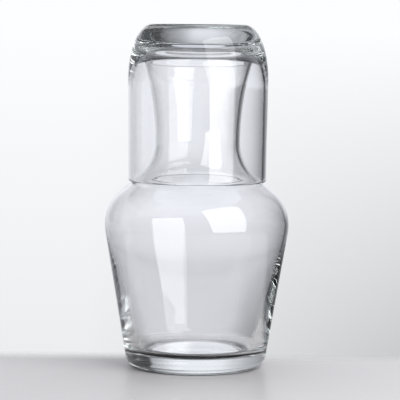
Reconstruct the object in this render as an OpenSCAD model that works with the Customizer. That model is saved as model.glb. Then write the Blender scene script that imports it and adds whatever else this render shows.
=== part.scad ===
// Bedside carafe with a drinking tumbler turned over its neck.
// Both are clear glass, turned about the upright axis. Millimetres, table at z = 0.

/* [Carafe body] */
// Diameter at which the tapered wall would meet the table
base_d = 80.2; // [78:0.1:86]
// Radius of the rounded heel between foot and wall
heel_r = 6.5; // [3:0.1:8]
// Diameter at the belly, the widest place
body_d = 107.4; // [102:0.1:116]
// Height of the belly above the table
belly_z = 83.3; // [72:0.1:94]
// Radius of the round shoulder
shoulder_r = 26; // [20:0.5:30]
// Lean of the seat above the shoulder, from upright
seat_angle = 50; // [44:1:58]

/* [Carafe neck] */
// Outside diameter at the waist of the neck
waist_d = 49.3; // [44:0.1:54]
// Width of plain seat left inside the tumbler's rim
seat_land = 4.3; // [3:0.1:6.5]
// Gap all round between the carafe's lip and the tumbler's straight bore
mouth_gap = 6.2; // [5:0.1:8]
// Gap between the carafe's lip and the tumbler's inside floor
lip_gap = 7.3; // [5:0.1:10]

/* [Carafe glass] */
// Thickness of the neck and shoulder
wall_t = 2.1; // [1.6:0.1:3]
// Thickness of the wall where it meets the inside floor
foot_wall_t = 8; // [5:0.1:9]
// Radius of the long curve by which the inside wall leaves the shoulder
wall_curve_r = 230; // [140:10:280]
// Thickness of the bottom at the edge of the inside floor
bottom_t = 9; // [6.5:0.1:12]
// Radius of the corner round the inside floor
floor_r = 7; // [4:0.5:12]
// Rise of the inside floor towards its middle
floor_rise = 2.4; // [0.4:0.1:4]
// Width of the flat ring that the foot stands on
foot_ring = 3.85; // [2:0.05:8]
// Depth of the hollow under the foot
punt_h = 1.7; // [0.8:0.1:3]

/* [Tumbler] */
// Height of the tumbler
tumbler_h = 91.4; // [84:0.1:100]
// Outside diameter where the wall meets the rounded base
tumbler_d = 81.5; // [80.2:0.1:84]
// Outside diameter at the rim
rim_d = 80.2; // [77:0.1:81.5]
// Thickness of the tumbler's wall
tumbler_t = 2.4; // [1.8:0.1:3]
// Thickness of the heavy base at its foot ring
tumbler_base_t = 12; // [10:0.1:18]
// Diameter of the flat foot
tumbler_foot_d = 53.6; // [48:0.1:58]
// Height of the rounded side of the base
tumbler_heel_h = 31; // [24:0.5:36]
// Width of the long round between the tumbler's bore and its inside floor
tumbler_floor_r = 11; // [6:0.5:14]
// Height of that round
tumbler_floor_h = 24.5; // [12:0.5:30]
// Diameter of the hollow in the foot
tumbler_punt_d = 40; // [34:0.5:44]
// Depth of the hollow in the foot
tumbler_punt_h = 1.2; // [0.8:0.1:3]

/* [Fit] */
// Air between the tumbler's rim and the carafe's seat
seat_gap = 0.3; // [0.2:0.05:0.6]

/* [Hidden] */
$fn = 180;
// How far a straight step may stray from the curve it follows
curve_tol = 0.006;
// Steps along a quarter of an ellipse
quarter_steps = 40;
glass = [0.86, 0.92, 0.93, 0.5];

// Carafe wall: a straight taper that runs into the shoulder's circle
body_r = body_d / 2;
waist_r = waist_d / 2;
shoulder_c = [body_r - shoulder_r, belly_z];
taper = taper_to([base_d / 2, 0], shoulder_c, shoulder_r);
seat_start = on_circle(shoulder_c, shoulder_r, seat_angle);

// Foot: the heel rounds into a flat ring, and the hollow lies inside the ring
heel_c = corner_c([base_d / 2, 0], taper, heel_r);
punt_d = 2 * (heel_c.x - foot_ring);

// The tumbler's rim bead comes down on the seat, or past its edge on the shoulder
bead_r = tumbler_t / 2;
bead_mid_r = rim_d / 2 - bead_r;
reach = bead_r + seat_gap;
touch_r = bead_mid_r - reach * cos(seat_angle);
bead_on_seat = seat_start.y + (seat_start.x - bead_mid_r) / tan(seat_angle) + reach / sin(seat_angle);
bead_on_shoulder = belly_z + sqrt((shoulder_r + reach) ^ 2 - (bead_mid_r - shoulder_c.x) ^ 2);
rim_z = (touch_r < seat_start.x ? bead_on_seat : bead_on_shoulder) - bead_r;
tumbler_floor_z = tumbler_h - tumbler_base_t;

// Neck: a hollow round from the seat up to the waist, then a flare out to the lip
blend_start_r = min(touch_r, seat_start.x) - seat_land;
blend_r = (blend_start_r - waist_r) / (1 - cos(seat_angle));
seat_rise = (seat_start.x - blend_start_r) / tan(seat_angle);
waist_z = seat_start.y + seat_rise + blend_r * sin(seat_angle);
blend_c = [waist_r + blend_r, waist_z];
lip_bead_r = wall_t / 2;
lip_c = [rim_d / 2 - tumbler_t - mouth_gap - lip_bead_r,
         rim_z + tumbler_floor_z - lip_gap - lip_bead_r];
flare = lip_c - [waist_r - lip_bead_r, waist_z];
flare_r = (flare * flare) / (2 * flare.x);
flare_c = [waist_r - lip_bead_r + flare_r, waist_z];
flare_a = asin(flare.y / flare_r);

// Inside of the carafe: the wall is even at the belly and thickens, in a curve at first, down to the floor
wall_c = on_circle(shoulder_c, shoulder_r - wall_t - wall_curve_r, -taper);
floor_edge = [base_d / 2 + bottom_t * tan(taper) - foot_wall_t, bottom_t];
inside_taper = taper_to(floor_edge, wall_c, wall_curve_r);
floor_c = corner_c(floor_edge, inside_taper, floor_r);

// Point on a circle at an angle from level
function on_circle(c, r, a) = c + r * [cos(a), sin(a)];

// Points along an arc, leaving out the first ones where the arc before ends there
function arc(c, r, from, to, skip = 0) =
    let (n = ceil(abs(to - from) / (2 * acos(1 - curve_tol / r))))
    [for (i = [skip : n]) on_circle(c, r, from + (to - from) * i / n)];

// Lean of the line from a point that just touches a circle on its outer side
function taper_to(p, c, r) = -atan2(p.y - c.y, p.x - c.x) - acos(r / norm(p - c));

// Centre of the round in the corner of a level face and a wall that leans outward
function corner_c(corner, lean, r) = corner + r * [tan(lean) - 1 / cos(lean), 1];

// Shallow round hollow of a foot, from its edge to the axis, rising or sinking by h
function hollow(d, z, h) =
    let (r = (d * d / 4 + h * h) / (2 * abs(h)), half = asin(d / 2 / r), s = sign(h))
    arc([0, z + h - s * r], r, s * (90 - half), s * 90);

// Quarter of an ellipse, from its top to its side or back
function quarter(c, half_w, half_h, from, to) =
    [for (i = [0 : quarter_steps])
        let (a = from + (to - from) * i / quarter_steps)
        c + [half_w * cos(a), half_h * sin(a)]];

// The same points in the other order, without the last
function turned(points) = [for (i = [len(points) - 1 : -1 : 1]) points[i]];

carafe_inside = concat(
    turned(hollow(2 * floor_c.x, bottom_t, floor_rise)),
    arc(floor_c, floor_r, -90, -inside_taper),
    arc(wall_c, wall_curve_r, -inside_taper, -taper),
    arc(shoulder_c, shoulder_r - wall_t, -taper, seat_angle, 1),
    arc(blend_c, blend_r + wall_t, 180 + seat_angle, 180),
    arc(flare_c, flare_r + lip_bead_r, 180, 180 - flare_a, 1));

carafe_outside = concat(
    arc(flare_c, flare_r - lip_bead_r, 180 - flare_a, 180, 1),
    arc(blend_c, blend_r, 180, 180 + seat_angle, 1),
    arc(shoulder_c, shoulder_r, seat_angle, -taper),
    arc(heel_c, heel_r, -taper, -90));

// Clear glass carafe: thick foot, tapered body, round shoulder, waisted neck and round lip
module carafe() {
    lip = arc(lip_c, lip_bead_r, 180 - flare_a, -flare_a, 1);
    color(glass)
        rotate_extrude()
            polygon(concat(hollow(punt_d, 0, punt_h), carafe_inside, lip, carafe_outside));
}

// Clear glass tumbler, upside down: fire-polished rim below, heavy rounded base above
module tumbler() {
    wall_r = tumbler_d / 2;
    foot_r = tumbler_foot_d / 2;
    heel = quarter([foot_r, tumbler_h - tumbler_heel_h], wall_r - foot_r, tumbler_heel_h, 0, 90);
    corner = quarter([wall_r - tumbler_t - tumbler_floor_r, tumbler_floor_z - tumbler_floor_h],
        tumbler_floor_r, tumbler_floor_h, 90, 0);
    color(glass)
        translate([0, 0, rim_z])
            rotate_extrude()
                polygon(concat(arc([bead_mid_r, bead_r], bead_r, 180, 360), heel,
                    hollow(tumbler_punt_d, tumbler_h, -tumbler_punt_h),
                    [[0, tumbler_floor_z]], corner));
}

carafe();
tumbler();
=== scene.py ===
"""Bedside carafe with a tumbler turned over its neck: clear glass on a studio table."""

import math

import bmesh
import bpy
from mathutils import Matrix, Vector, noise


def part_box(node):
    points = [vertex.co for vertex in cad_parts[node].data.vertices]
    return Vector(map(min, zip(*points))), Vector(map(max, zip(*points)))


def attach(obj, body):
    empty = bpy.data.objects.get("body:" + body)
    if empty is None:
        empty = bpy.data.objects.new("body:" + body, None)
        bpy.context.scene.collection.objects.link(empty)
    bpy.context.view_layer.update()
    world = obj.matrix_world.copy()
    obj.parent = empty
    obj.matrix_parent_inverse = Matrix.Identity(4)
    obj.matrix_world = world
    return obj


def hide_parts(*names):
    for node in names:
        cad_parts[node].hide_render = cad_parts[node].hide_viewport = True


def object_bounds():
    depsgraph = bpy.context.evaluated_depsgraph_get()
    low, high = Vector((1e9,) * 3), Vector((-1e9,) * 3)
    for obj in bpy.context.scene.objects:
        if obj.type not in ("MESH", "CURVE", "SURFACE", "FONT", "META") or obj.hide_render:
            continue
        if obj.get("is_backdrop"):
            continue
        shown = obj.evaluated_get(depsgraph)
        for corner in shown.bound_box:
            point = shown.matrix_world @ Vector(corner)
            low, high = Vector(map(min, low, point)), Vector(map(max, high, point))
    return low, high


bl_info = {
    "name": "Bedside Carafe with Tumbler",
    "version": (1, 0, 0),
    "blender": (4, 5, 0),
    "location": "View3D > Sidebar > Carafe",
    "description": "Blows the carafe, presses the tumbler and lights them on a pale table",
    "category": "Object",
}

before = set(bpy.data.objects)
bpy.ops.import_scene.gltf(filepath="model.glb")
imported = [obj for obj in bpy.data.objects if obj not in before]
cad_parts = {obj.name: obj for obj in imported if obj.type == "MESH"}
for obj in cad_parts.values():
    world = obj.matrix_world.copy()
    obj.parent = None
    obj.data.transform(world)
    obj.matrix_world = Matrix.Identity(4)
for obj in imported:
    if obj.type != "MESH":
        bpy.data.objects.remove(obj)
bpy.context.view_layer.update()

MM = 0.001

# Soda-lime glass: how strongly it bends light, and how fast it takes on its tint
GLASS_IOR = 1.52
GLASS_DENSITY = 8.0
# The carafe's ripples die out towards the belly; the pressed tumbler has shallower ones, near its base
RIPPLE_FADE = 2.2
PRESSED_SHARE = 0.3
# How often light may turn inside the thick glass before it leaves
LIGHT_TURNS = 32
# Where the table fades out: behind the axis, and far from it
TABLE_END = (0.016, 0.054)
TABLE_REACH = (0.2, 0.85)

# Light levels of the studio as the glass shows them: degrees to the right of straight back, and level
EYE_LEVELS = (
    (-180, 0.60), (-130, 0.55), (-95, 0.52), (-60, 0.62), (-36, 0.68), (-24, 0.74), (-16, 0.86), (-9, 1.0),
    (0, 1.0), (3, 0.96), (5, 0.86), (7, 0.74), (9, 0.64), (12, 0.52), (15, 0.43), (20, 0.32), (30, 0.12),
    (45, 0.0), (65, 0.10), (95, 0.34), (130, 0.40), (180, 0.60))
HIGH_LEVELS = (
    (-180, 0.55), (-130, 0.50), (-95, 0.40), (-60, 0.34), (-36, 0.52), (-24, 0.72), (-16, 0.94), (-9, 1.0),
    (9, 1.0), (14, 0.86), (20, 0.60), (27, 0.44), (30, 0.03), (60, 0.05), (95, 0.20), (130, 0.30),
    (180, 0.55))
# The backdrop dims towards its foot, with a soft crease where it turns forward: sine of the rise, and level
FALL_DEPTH = 0.25
FALL_LEVELS = (
    (-0.25, 0.73), (-0.225, 0.73), (-0.205, 0.68), (-0.19, 0.72), (-0.175, 0.77), (-0.15, 0.81),
    (-0.125, 0.83), (-0.10, 0.86), (-0.075, 0.92), (-0.05, 0.98), (-0.03, 1.0))


def linear(hex_colour):
    """An sRGB hex colour as linear red, green, blue and alpha."""
    srgb = [int(hex_colour[i:i + 2], 16) / 255 for i in (1, 3, 5)]
    return [c / 12.92 if c <= 0.04045 else ((c + 0.055) / 1.055) ** 2.4 for c in srgb] + [1.0]


def add(tree, kind, inputs=None, **settings):
    """Adds a node with its settings; each input is a value or another node's output."""
    node = tree.nodes.new(kind)
    for name, value in settings.items():
        setattr(node, name, value)
    for key, value in (inputs or {}).items():
        if isinstance(value, bpy.types.NodeSocket):
            tree.links.new(value, node.inputs[key])
        else:
            node.inputs[key].default_value = value
    return node


def set_ramp(node, stops):
    """Puts (position, grey level) stops on a colour ramp."""
    ramp = node.color_ramp
    while len(ramp.elements) < len(stops):
        ramp.elements.new(1.0)
    for element, (position, level) in zip(ramp.elements, stops):
        element.position = position
        element.color = (level, level, level, 1)
    return node


def new_material(name):
    """A material with an empty node tree and its output node."""
    material = bpy.data.materials.new(name)
    material.use_nodes = True
    material.node_tree.nodes.clear()
    return material, material.node_tree, add(material.node_tree, "ShaderNodeOutputMaterial")


class GlassSettings(bpy.types.PropertyGroup):
    """What a glassmaker would change on the two pieces."""

    segments: bpy.props.IntProperty(
        name="Segments", description="Steps round each turned piece", default=224, min=48)
    longest_step: bpy.props.FloatProperty(
        name="Longest step", description="Longest straight step along the outline",
        default=1.5 * MM, unit="LENGTH")
    ripple_depth: bpy.props.FloatProperty(
        name="Ripple depth", description="How far the inside wall strays from true",
        default=0.10 * MM, unit="LENGTH")
    ripple_height: bpy.props.FloatProperty(
        name="Ripple height", description="Upright spacing of the ripples inside the wall",
        default=7 * MM, unit="LENGTH")
    ripple_width: bpy.props.FloatProperty(
        name="Ripple width", description="Spacing of the ripples round the wall",
        default=26 * MM, unit="LENGTH")
    tint: bpy.props.FloatVectorProperty(
        name="Tint", description="Colour the glass takes on through its thickness",
        subtype="COLOR", size=4, default=linear("#EEF3F2"))


class StageSettings(bpy.types.PropertyGroup):
    """Table, light and camera."""

    table_colour: bpy.props.FloatVectorProperty(
        name="Table", description="Colour of the table top",
        subtype="COLOR", size=4, default=linear("#E4E2E4"))
    camera_distance: bpy.props.FloatProperty(
        name="Camera distance", description="From the axis of the set to the camera",
        default=1.25, unit="LENGTH")
    camera_height: bpy.props.FloatProperty(
        name="Camera height", description="Above the table", default=0.196, unit="LENGTH")
    camera_side: bpy.props.FloatProperty(
        name="Camera side step", description="To the right of the axis", default=1.75 * MM, unit="LENGTH")
    camera_pitch: bpy.props.FloatProperty(
        name="Camera pitch", description="Downward tilt", default=math.radians(4.50), subtype="ANGLE")
    camera_roll: bpy.props.FloatProperty(
        name="Camera roll", description="Turn about the line of sight",
        default=math.radians(0.6), subtype="ANGLE")
    focal_length: bpy.props.FloatProperty(
        name="Focal length", description="Lens, in millimetres", default=193.1, unit="CAMERA")


def half_section(node):
    """The outline of a round node from axis to axis, as (radius, height) points in order."""
    tol = 1e-6
    bm = bmesh.new()
    bm.from_mesh(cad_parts[node].data)
    bmesh.ops.remove_doubles(bm, verts=bm.verts, dist=tol)
    for normal in ((1, 0, 0), (0, 1, 0)):
        everything = bm.verts[:] + bm.edges[:] + bm.faces[:]
        cut = bmesh.ops.bisect_plane(bm, geom=everything, dist=tol, plane_co=(0, 0, 0), plane_no=normal)
    edges = [e for e in cut["geom_cut"] if isinstance(e, bmesh.types.BMEdge)]
    edges = [e for e in edges if all(v.co.x > -tol and abs(v.co.y) < tol for v in e.verts)]
    links = {}
    for edge in edges:
        a, b = edge.verts
        links.setdefault(a, []).append(b)
        links.setdefault(b, []).append(a)
    here = min((v for v in links if v.co.x < tol), key=lambda v: v.co.z)
    before, outline = None, []
    while here is not None:
        outline.append((max(here.co.x, 0.0), here.co.z))
        onward = [v for v in links[here] if v is not before]
        before, here = here, onward[0] if onward else None
    bm.free()
    return outline


def even_steps(outline, longest):
    """Drops points along straight stretches, then splits each stretch into steps of one length."""
    turns = [outline[0]]
    for here, after in zip(outline[1:], outline[2:]):
        way_in = Vector(here) - Vector(turns[-1])
        way_out = Vector(after) - Vector(here)
        if way_in.angle(way_out, 0) > math.radians(0.05):
            turns.append(here)
    turns.append(outline[-1])
    points = [turns[0]]
    for a, b in zip(turns, turns[1:]):
        steps = max(1, math.ceil((Vector(b) - Vector(a)).length / longest))
        points += [tuple(Vector(a).lerp(Vector(b), i / steps)) for i in range(1, steps + 1)]
    return points


def facing_inward(points):
    """For each outline point, how squarely its glass faces the axis, from 0 to 1."""
    shares = []
    for i in range(len(points)):
        before, after = points[max(i - 1, 0)], points[min(i + 1, len(points) - 1)]
        along = (Vector(after) - Vector(before)).normalized()
        shares.append(max(0.0, -along.y))
    return shares


def turn(name, points, shares, settings, ripple):
    """Turns an outline about the upright axis, with ripples on the faces that look inward."""
    bm = bmesh.new()
    rings = []
    for (radius, height), share in zip(points, shares):
        if radius < 1e-7:
            rings.append([bm.verts.new((0, 0, height))] * settings.segments)
            continue
        ring = []
        for i in range(settings.segments):
            a = 2 * math.pi * i / settings.segments
            way = Vector((math.cos(a), math.sin(a), 0))
            place = Vector((way.x * radius / settings.ripple_width,
                            way.y * radius / settings.ripple_width,
                            height / settings.ripple_height))
            r = radius + share * ripple(height) * noise.noise(place)
            ring.append(bm.verts.new((way.x * r, way.y * r, height)))
        rings.append(ring)
    for low, high in zip(rings, rings[1:]):
        for i in range(settings.segments):
            j = (i + 1) % settings.segments
            corners = list(dict.fromkeys((low[i], low[j], high[j], high[i])))
            bm.faces.new(corners).smooth = True
    bmesh.ops.recalc_face_normals(bm, faces=bm.faces)
    mesh = bpy.data.meshes.new(name)
    bm.to_mesh(mesh)
    bm.free()
    piece = bpy.data.objects.new(name, mesh)
    bpy.context.scene.collection.objects.link(piece)
    return piece


def soda_lime_glass(name, tint):
    """Clear soda-lime glass, fire-polished: mirror-smooth, colourless face on, faintly green in depth."""
    material, tree, output = new_material(name)
    place = add(tree, "ShaderNodeTexCoord")
    # Patches 12 mm across where the polish is a touch softer, and waves 26 mm long left by the mould
    polish = add(tree, "ShaderNodeTexNoise", {"Vector": place.outputs["Object"], "Scale": 1 / (12 * MM)})
    softness = add(tree, "ShaderNodeMapRange", {
        "Value": polish.outputs["Fac"], "From Min": 0.4, "From Max": 0.8, "To Min": 0.0, "To Max": 0.012})
    waves = add(tree, "ShaderNodeTexNoise", {
        "Vector": place.outputs["Object"], "Scale": 1 / (26 * MM), "Detail": 0.0})
    swell = add(tree, "ShaderNodeBump", {"Height": waves.outputs["Fac"], "Distance": 0.06 * MM})
    glass = add(tree, "ShaderNodeBsdfPrincipled", {
        "Base Color": (1, 1, 1, 1), "Roughness": softness.outputs["Result"], "IOR": GLASS_IOR,
        "Transmission Weight": 1.0, "Normal": swell.outputs["Normal"]})
    depth = add(tree, "ShaderNodeVolumeAbsorption", {"Color": tint, "Density": GLASS_DENSITY})
    tree.links.new(glass.outputs["BSDF"], output.inputs["Surface"])
    tree.links.new(depth.outputs["Volume"], output.inputs["Volume"])
    return material


class CARAFE_OT_blow_carafe(bpy.types.Operator):
    """Makes the carafe: thick foot, tapered body, round shoulder and waisted neck"""

    bl_idname = "carafe.blow_carafe"
    bl_label = "Blow Carafe"

    def execute(self, context):
        settings = context.scene.carafe_glass
        points = even_steps(half_section("carafe"), settings.longest_step)
        shares = facing_inward(points)
        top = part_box("carafe")[1].z

        def ripple(height):
            return settings.ripple_depth * max(0.0, 1 - RIPPLE_FADE * height / top)

        piece = turn("carafe_glass", points, shares, settings, ripple)
        piece.data.materials.append(soda_lime_glass("Soda-lime glass, mould-blown", settings.tint))
        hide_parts("carafe")
        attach(piece, "carafe")
        return {"FINISHED"}


class CARAFE_OT_press_tumbler(bpy.types.Operator):
    """Makes the tumbler: fire-polished rim, thin wall and heavy rounded base"""

    bl_idname = "carafe.press_tumbler"
    bl_label = "Press Tumbler"

    def execute(self, context):
        settings = context.scene.carafe_glass
        points = even_steps(half_section("tumbler"), settings.longest_step)
        shares = facing_inward(points)
        low, high = (corner.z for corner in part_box("tumbler"))

        def ripple(height):
            share = max(0.0, 2 * (height - low) / (high - low) - 1)
            return settings.ripple_depth * PRESSED_SHARE * share

        piece = turn("tumbler_glass", points, shares, settings, ripple)
        piece.data.materials.append(soda_lime_glass("Soda-lime glass, pressed", settings.tint))
        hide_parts("tumbler")
        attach(piece, "tumbler")
        return {"FINISHED"}


def table_top(colour):
    """Satin laminate table top, pale grey, that fades out behind the set and far from it."""
    material, tree, output = new_material("Laminate, satin pale grey")
    place = add(tree, "ShaderNodeTexCoord")
    # Clouds 50 mm across in the colour, and a grain of 1.5 mm that breaks up the shine
    clouds = add(tree, "ShaderNodeTexNoise", {"Vector": place.outputs["Object"], "Scale": 1 / (50 * MM)})
    paler = add(tree, "ShaderNodeMix", {
        "Factor": clouds.outputs["Fac"], "A": [0.97 * c for c in colour[:3]] + [1], "B": colour},
        data_type="RGBA")
    grain = add(tree, "ShaderNodeTexNoise", {"Vector": place.outputs["Object"], "Scale": 1 / (1.5 * MM)})
    shine = add(tree, "ShaderNodeMapRange", {
        "Value": grain.outputs["Fac"], "To Min": 0.26, "To Max": 0.38})
    relief = add(tree, "ShaderNodeBump", {"Height": grain.outputs["Fac"], "Distance": 0.02 * MM})
    top = add(tree, "ShaderNodeBsdfPrincipled", {
        "Base Color": paler.outputs["Result"], "Roughness": shine.outputs["Result"],
        "Specular IOR Level": 0.1, "Normal": relief.outputs["Normal"]})
    spot = add(tree, "ShaderNodeSeparateXYZ", {0: place.outputs["Object"]})
    behind = add(tree, "ShaderNodeMapRange", {
        "Value": spot.outputs["Y"], "From Min": TABLE_END[0], "From Max": TABLE_END[1]},
        interpolation_type="SMOOTHSTEP")
    reach = add(tree, "ShaderNodeVectorMath", {0: place.outputs["Object"]}, operation="LENGTH")
    far = add(tree, "ShaderNodeMapRange", {
        "Value": reach.outputs["Value"], "From Min": TABLE_REACH[0], "From Max": TABLE_REACH[1]},
        interpolation_type="SMOOTHSTEP")
    fade = add(tree, "ShaderNodeMath", {
        0: behind.outputs["Result"], 1: far.outputs["Result"]}, operation="MAXIMUM")
    clear = add(tree, "ShaderNodeBsdfTransparent")
    mix = add(tree, "ShaderNodeMixShader", {
        0: fade.outputs["Value"], 1: top.outputs["BSDF"], 2: clear.outputs["BSDF"]})
    tree.links.new(mix.outputs["Shader"], output.inputs["Surface"])
    return material


def studio_world(world):
    """Lit backdrop behind the set, whitest at the top left and dark on its right, in a pale room."""
    world.use_nodes = True
    tree = world.node_tree
    tree.nodes.clear()
    view = add(tree, "ShaderNodeTexCoord")
    way = add(tree, "ShaderNodeSeparateXYZ", {0: view.outputs["Generated"]})
    turned = add(tree, "ShaderNodeMath", {0: way.outputs["X"], 1: way.outputs["Y"]}, operation="ARCTAN2")
    around = add(tree, "ShaderNodeMapRange", {
        "Value": turned.outputs[0], "From Min": -math.pi, "From Max": math.pi})
    # What the glass shows, below eye level and above it
    eye, high = (
        set_ramp(add(tree, "ShaderNodeValToRGB", {0: around.outputs[0]}),
                 [(angle / 360 + 0.5, level) for angle, level in levels])
        for levels in (EYE_LEVELS, HIGH_LEVELS))
    rise = add(tree, "ShaderNodeMapRange", {"Value": way.outputs["Z"], "From Min": -0.04, "From Max": 0.01})
    sides = add(tree, "ShaderNodeMix", {
        "Factor": rise.outputs[0], "A": eye.outputs["Color"], "B": high.outputs["Color"]}, data_type="RGBA")
    sink = add(tree, "ShaderNodeMapRange", {
        "Value": way.outputs["Z"], "From Min": -FALL_DEPTH, "From Max": 0.0})
    fall = set_ramp(add(tree, "ShaderNodeValToRGB", {0: sink.outputs[0]}),
                    [(1 + z / FALL_DEPTH, level) for z, level in FALL_LEVELS])
    walls = add(tree, "ShaderNodeMix", {
        "Factor": 1.0, "A": sides.outputs["Result"], "B": fall.outputs["Color"]},
        data_type="RGBA", blend_type="MULTIPLY")
    climb = add(tree, "ShaderNodeMapRange", {"Value": way.outputs["Z"], "From Min": 0.62, "From Max": 0.75})
    bare = add(tree, "ShaderNodeMix", {
        "Factor": climb.outputs[0], "A": walls.outputs["Result"], "B": linear("#DADCE0")}, data_type="RGBA")
    room = add(tree, "ShaderNodeMix", {
        "Factor": 1.0, "A": bare.outputs["Result"], "B": linear("#F6F8FF")},
        data_type="RGBA", blend_type="MULTIPLY")
    # What the camera sees past the set
    side = add(tree, "ShaderNodeMapRange", {
        "Value": way.outputs["X"], "From Min": -0.052, "From Max": 0.105,
        "To Min": 0.16, "To Max": 0.48})
    drop = add(tree, "ShaderNodeMapRange", {
        "Value": way.outputs["Z"], "From Min": 0.0, "From Max": -0.17})
    dim = add(tree, "ShaderNodeMath", {0: side.outputs[0], 1: drop.outputs[0]}, operation="MULTIPLY")
    field = add(tree, "ShaderNodeMix", {
        "Factor": dim.outputs[0], "A": linear("#FCFEFF"), "B": linear("#1E2630")}, data_type="RGBA")
    # What lights the table: more from the backdrop than from the camera's side
    back = add(tree, "ShaderNodeMapRange", {"Value": way.outputs["Y"], "From Min": -1.0, "From Max": 1.0})
    spread = add(tree, "ShaderNodeMix", {
        "Factor": back.outputs[0], "A": linear("#606163"), "B": linear("#FFFFFF")}, data_type="RGBA")
    ray = add(tree, "ShaderNodeLightPath")
    lit = add(tree, "ShaderNodeMix", {
        "Factor": ray.outputs["Is Diffuse Ray"], "A": room.outputs["Result"], "B": spread.outputs["Result"]},
        data_type="RGBA")
    seen = add(tree, "ShaderNodeMix", {
        "Factor": ray.outputs["Is Camera Ray"], "A": lit.outputs["Result"], "B": field.outputs["Result"]},
        data_type="RGBA")
    background = add(tree, "ShaderNodeBackground", {"Color": seen.outputs["Result"], "Strength": 1.0})
    output = add(tree, "ShaderNodeOutputWorld")
    tree.links.new(background.outputs["Background"], output.inputs["Surface"])


def softbox(name, turn_degrees, rise_degrees, distance, width, height, watts):
    """A soft light aimed at the middle of the set; turn is to the right of the camera's side."""
    lamp = bpy.data.lights.new(name, "AREA")
    lamp.shape = "RECTANGLE"
    lamp.size = width
    lamp.size_y = height
    lamp.energy = watts
    light = bpy.data.objects.new(name, lamp)
    bpy.context.scene.collection.objects.link(light)
    # From behind, the light itself would fill the picture
    light.visible_camera = False
    middle = Vector((0, 0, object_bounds()[1].z * 0.4))
    turn_angle, rise = math.radians(turn_degrees), math.radians(rise_degrees)
    level = math.cos(rise)
    way = Vector((math.sin(turn_angle) * level, -math.cos(turn_angle) * level, math.sin(rise)))
    light.location = middle + way * distance
    light.rotation_euler = way.to_track_quat("Z", "Y").to_euler()


def flag(name, radius, low, high, colour):
    """A dark grey strip in a half ring behind the set, hidden from the camera, that the glass shows; its grey
    is a painted glow in place of cloth lit by the room.
    """
    bm = bmesh.new()
    steps, reach_degrees = 48, 110
    rows = []
    for height in (low, high):
        row = []
        for i in range(steps + 1):
            a = math.radians(-reach_degrees + 2 * reach_degrees * i / steps)
            row.append(bm.verts.new((radius * math.sin(a), radius * math.cos(a), height)))
        rows.append(row)
    for i in range(steps):
        bm.faces.new((rows[0][i], rows[0][i + 1], rows[1][i + 1], rows[1][i]))
    mesh = bpy.data.meshes.new(name)
    bm.to_mesh(mesh)
    bm.free()
    material, tree, output = new_material("Painted glow, dark grey card")
    # Painted glow: the strip gives off a fixed dark grey instead of being lit, standing in for dark felt
    glow = add(tree, "ShaderNodeEmission", {"Color": linear(colour), "Strength": 1.0})
    tree.links.new(glow.outputs["Emission"], output.inputs["Surface"])
    mesh.materials.append(material)
    glowing_card = bpy.data.objects.new(name, mesh)
    bpy.context.scene.collection.objects.link(glowing_card)
    glowing_card.visible_camera = glowing_card.visible_diffuse = glowing_card.visible_shadow = False
    glowing_card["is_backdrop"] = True


class CARAFE_OT_set_stage(bpy.types.Operator):
    """Lays the table, hangs the backdrop, places the light and aims the camera"""

    bl_idname = "carafe.set_stage"
    bl_label = "Set Stage"

    def execute(self, context):
        stage = context.scene.carafe_stage
        bpy.ops.mesh.primitive_circle_add(vertices=96, radius=0.9, fill_type="NGON")
        table = context.active_object
        table.name = "table_top"
        table.data.materials.append(table_top(stage.table_colour))
        table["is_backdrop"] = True
        context.scene.world = bpy.data.worlds.new("studio")
        studio_world(context.scene.world)
        # The flag's dark grey is a painted glow, not cloth lit by the room
        flag("flag", radius=0.36, low=0.307, high=0.62, colour="#46484C")
        softbox("softbox", turn_degrees=41, rise_degrees=25, distance=1.0, width=0.87, height=1.13, watts=9.0)
        lens = bpy.data.cameras.new("camera")
        lens.sensor_width = 36
        lens.lens = stage.focal_length
        camera = bpy.data.objects.new("camera", lens)
        context.scene.collection.objects.link(camera)
        camera.matrix_world = (
            Matrix.Translation((stage.camera_side, -stage.camera_distance, stage.camera_height))
            @ Matrix.Rotation(math.pi / 2 - stage.camera_pitch, 4, "X")
            @ Matrix.Rotation(stage.camera_roll, 4, "Z"))
        context.scene.camera = camera
        context.scene.view_settings.view_transform = "Standard"
        for kind in ("max_bounces", "glossy_bounces", "transmission_bounces"):
            setattr(context.scene.cycles, kind, LIGHT_TURNS)
        # Without focused light through the glass, the table keeps the shadow of the set
        context.scene.cycles.caustics_refractive = False
        return {"FINISHED"}


class VIEW3D_PT_bedside_carafe(bpy.types.Panel):
    """Lists the steps that build the set"""

    bl_label = "Bedside Carafe"
    bl_idname = "VIEW3D_PT_bedside_carafe"
    bl_space_type = "VIEW_3D"
    bl_region_type = "UI"
    bl_category = "Carafe"

    def draw(self, context):
        for settings in (context.scene.carafe_glass, context.scene.carafe_stage):
            for name in settings.__annotations__:
                self.layout.prop(settings, name)
        for operator in OPERATORS:
            self.layout.operator(operator.bl_idname)


OPERATORS = (CARAFE_OT_set_stage, CARAFE_OT_blow_carafe, CARAFE_OT_press_tumbler)
CLASSES = (GlassSettings, StageSettings, *OPERATORS, VIEW3D_PT_bedside_carafe)


def register():
    for cls in CLASSES:
        bpy.utils.register_class(cls)
    bpy.types.Scene.carafe_glass = bpy.props.PointerProperty(type=GlassSettings)
    bpy.types.Scene.carafe_stage = bpy.props.PointerProperty(type=StageSettings)


def unregister():
    del bpy.types.Scene.carafe_glass
    del bpy.types.Scene.carafe_stage
    for cls in reversed(CLASSES):
        bpy.utils.unregister_class(cls)


def main():
    register()
    bpy.ops.carafe.set_stage()
    bpy.ops.carafe.blow_carafe()
    bpy.ops.carafe.press_tumbler()


if __name__ == "__main__":
    main()
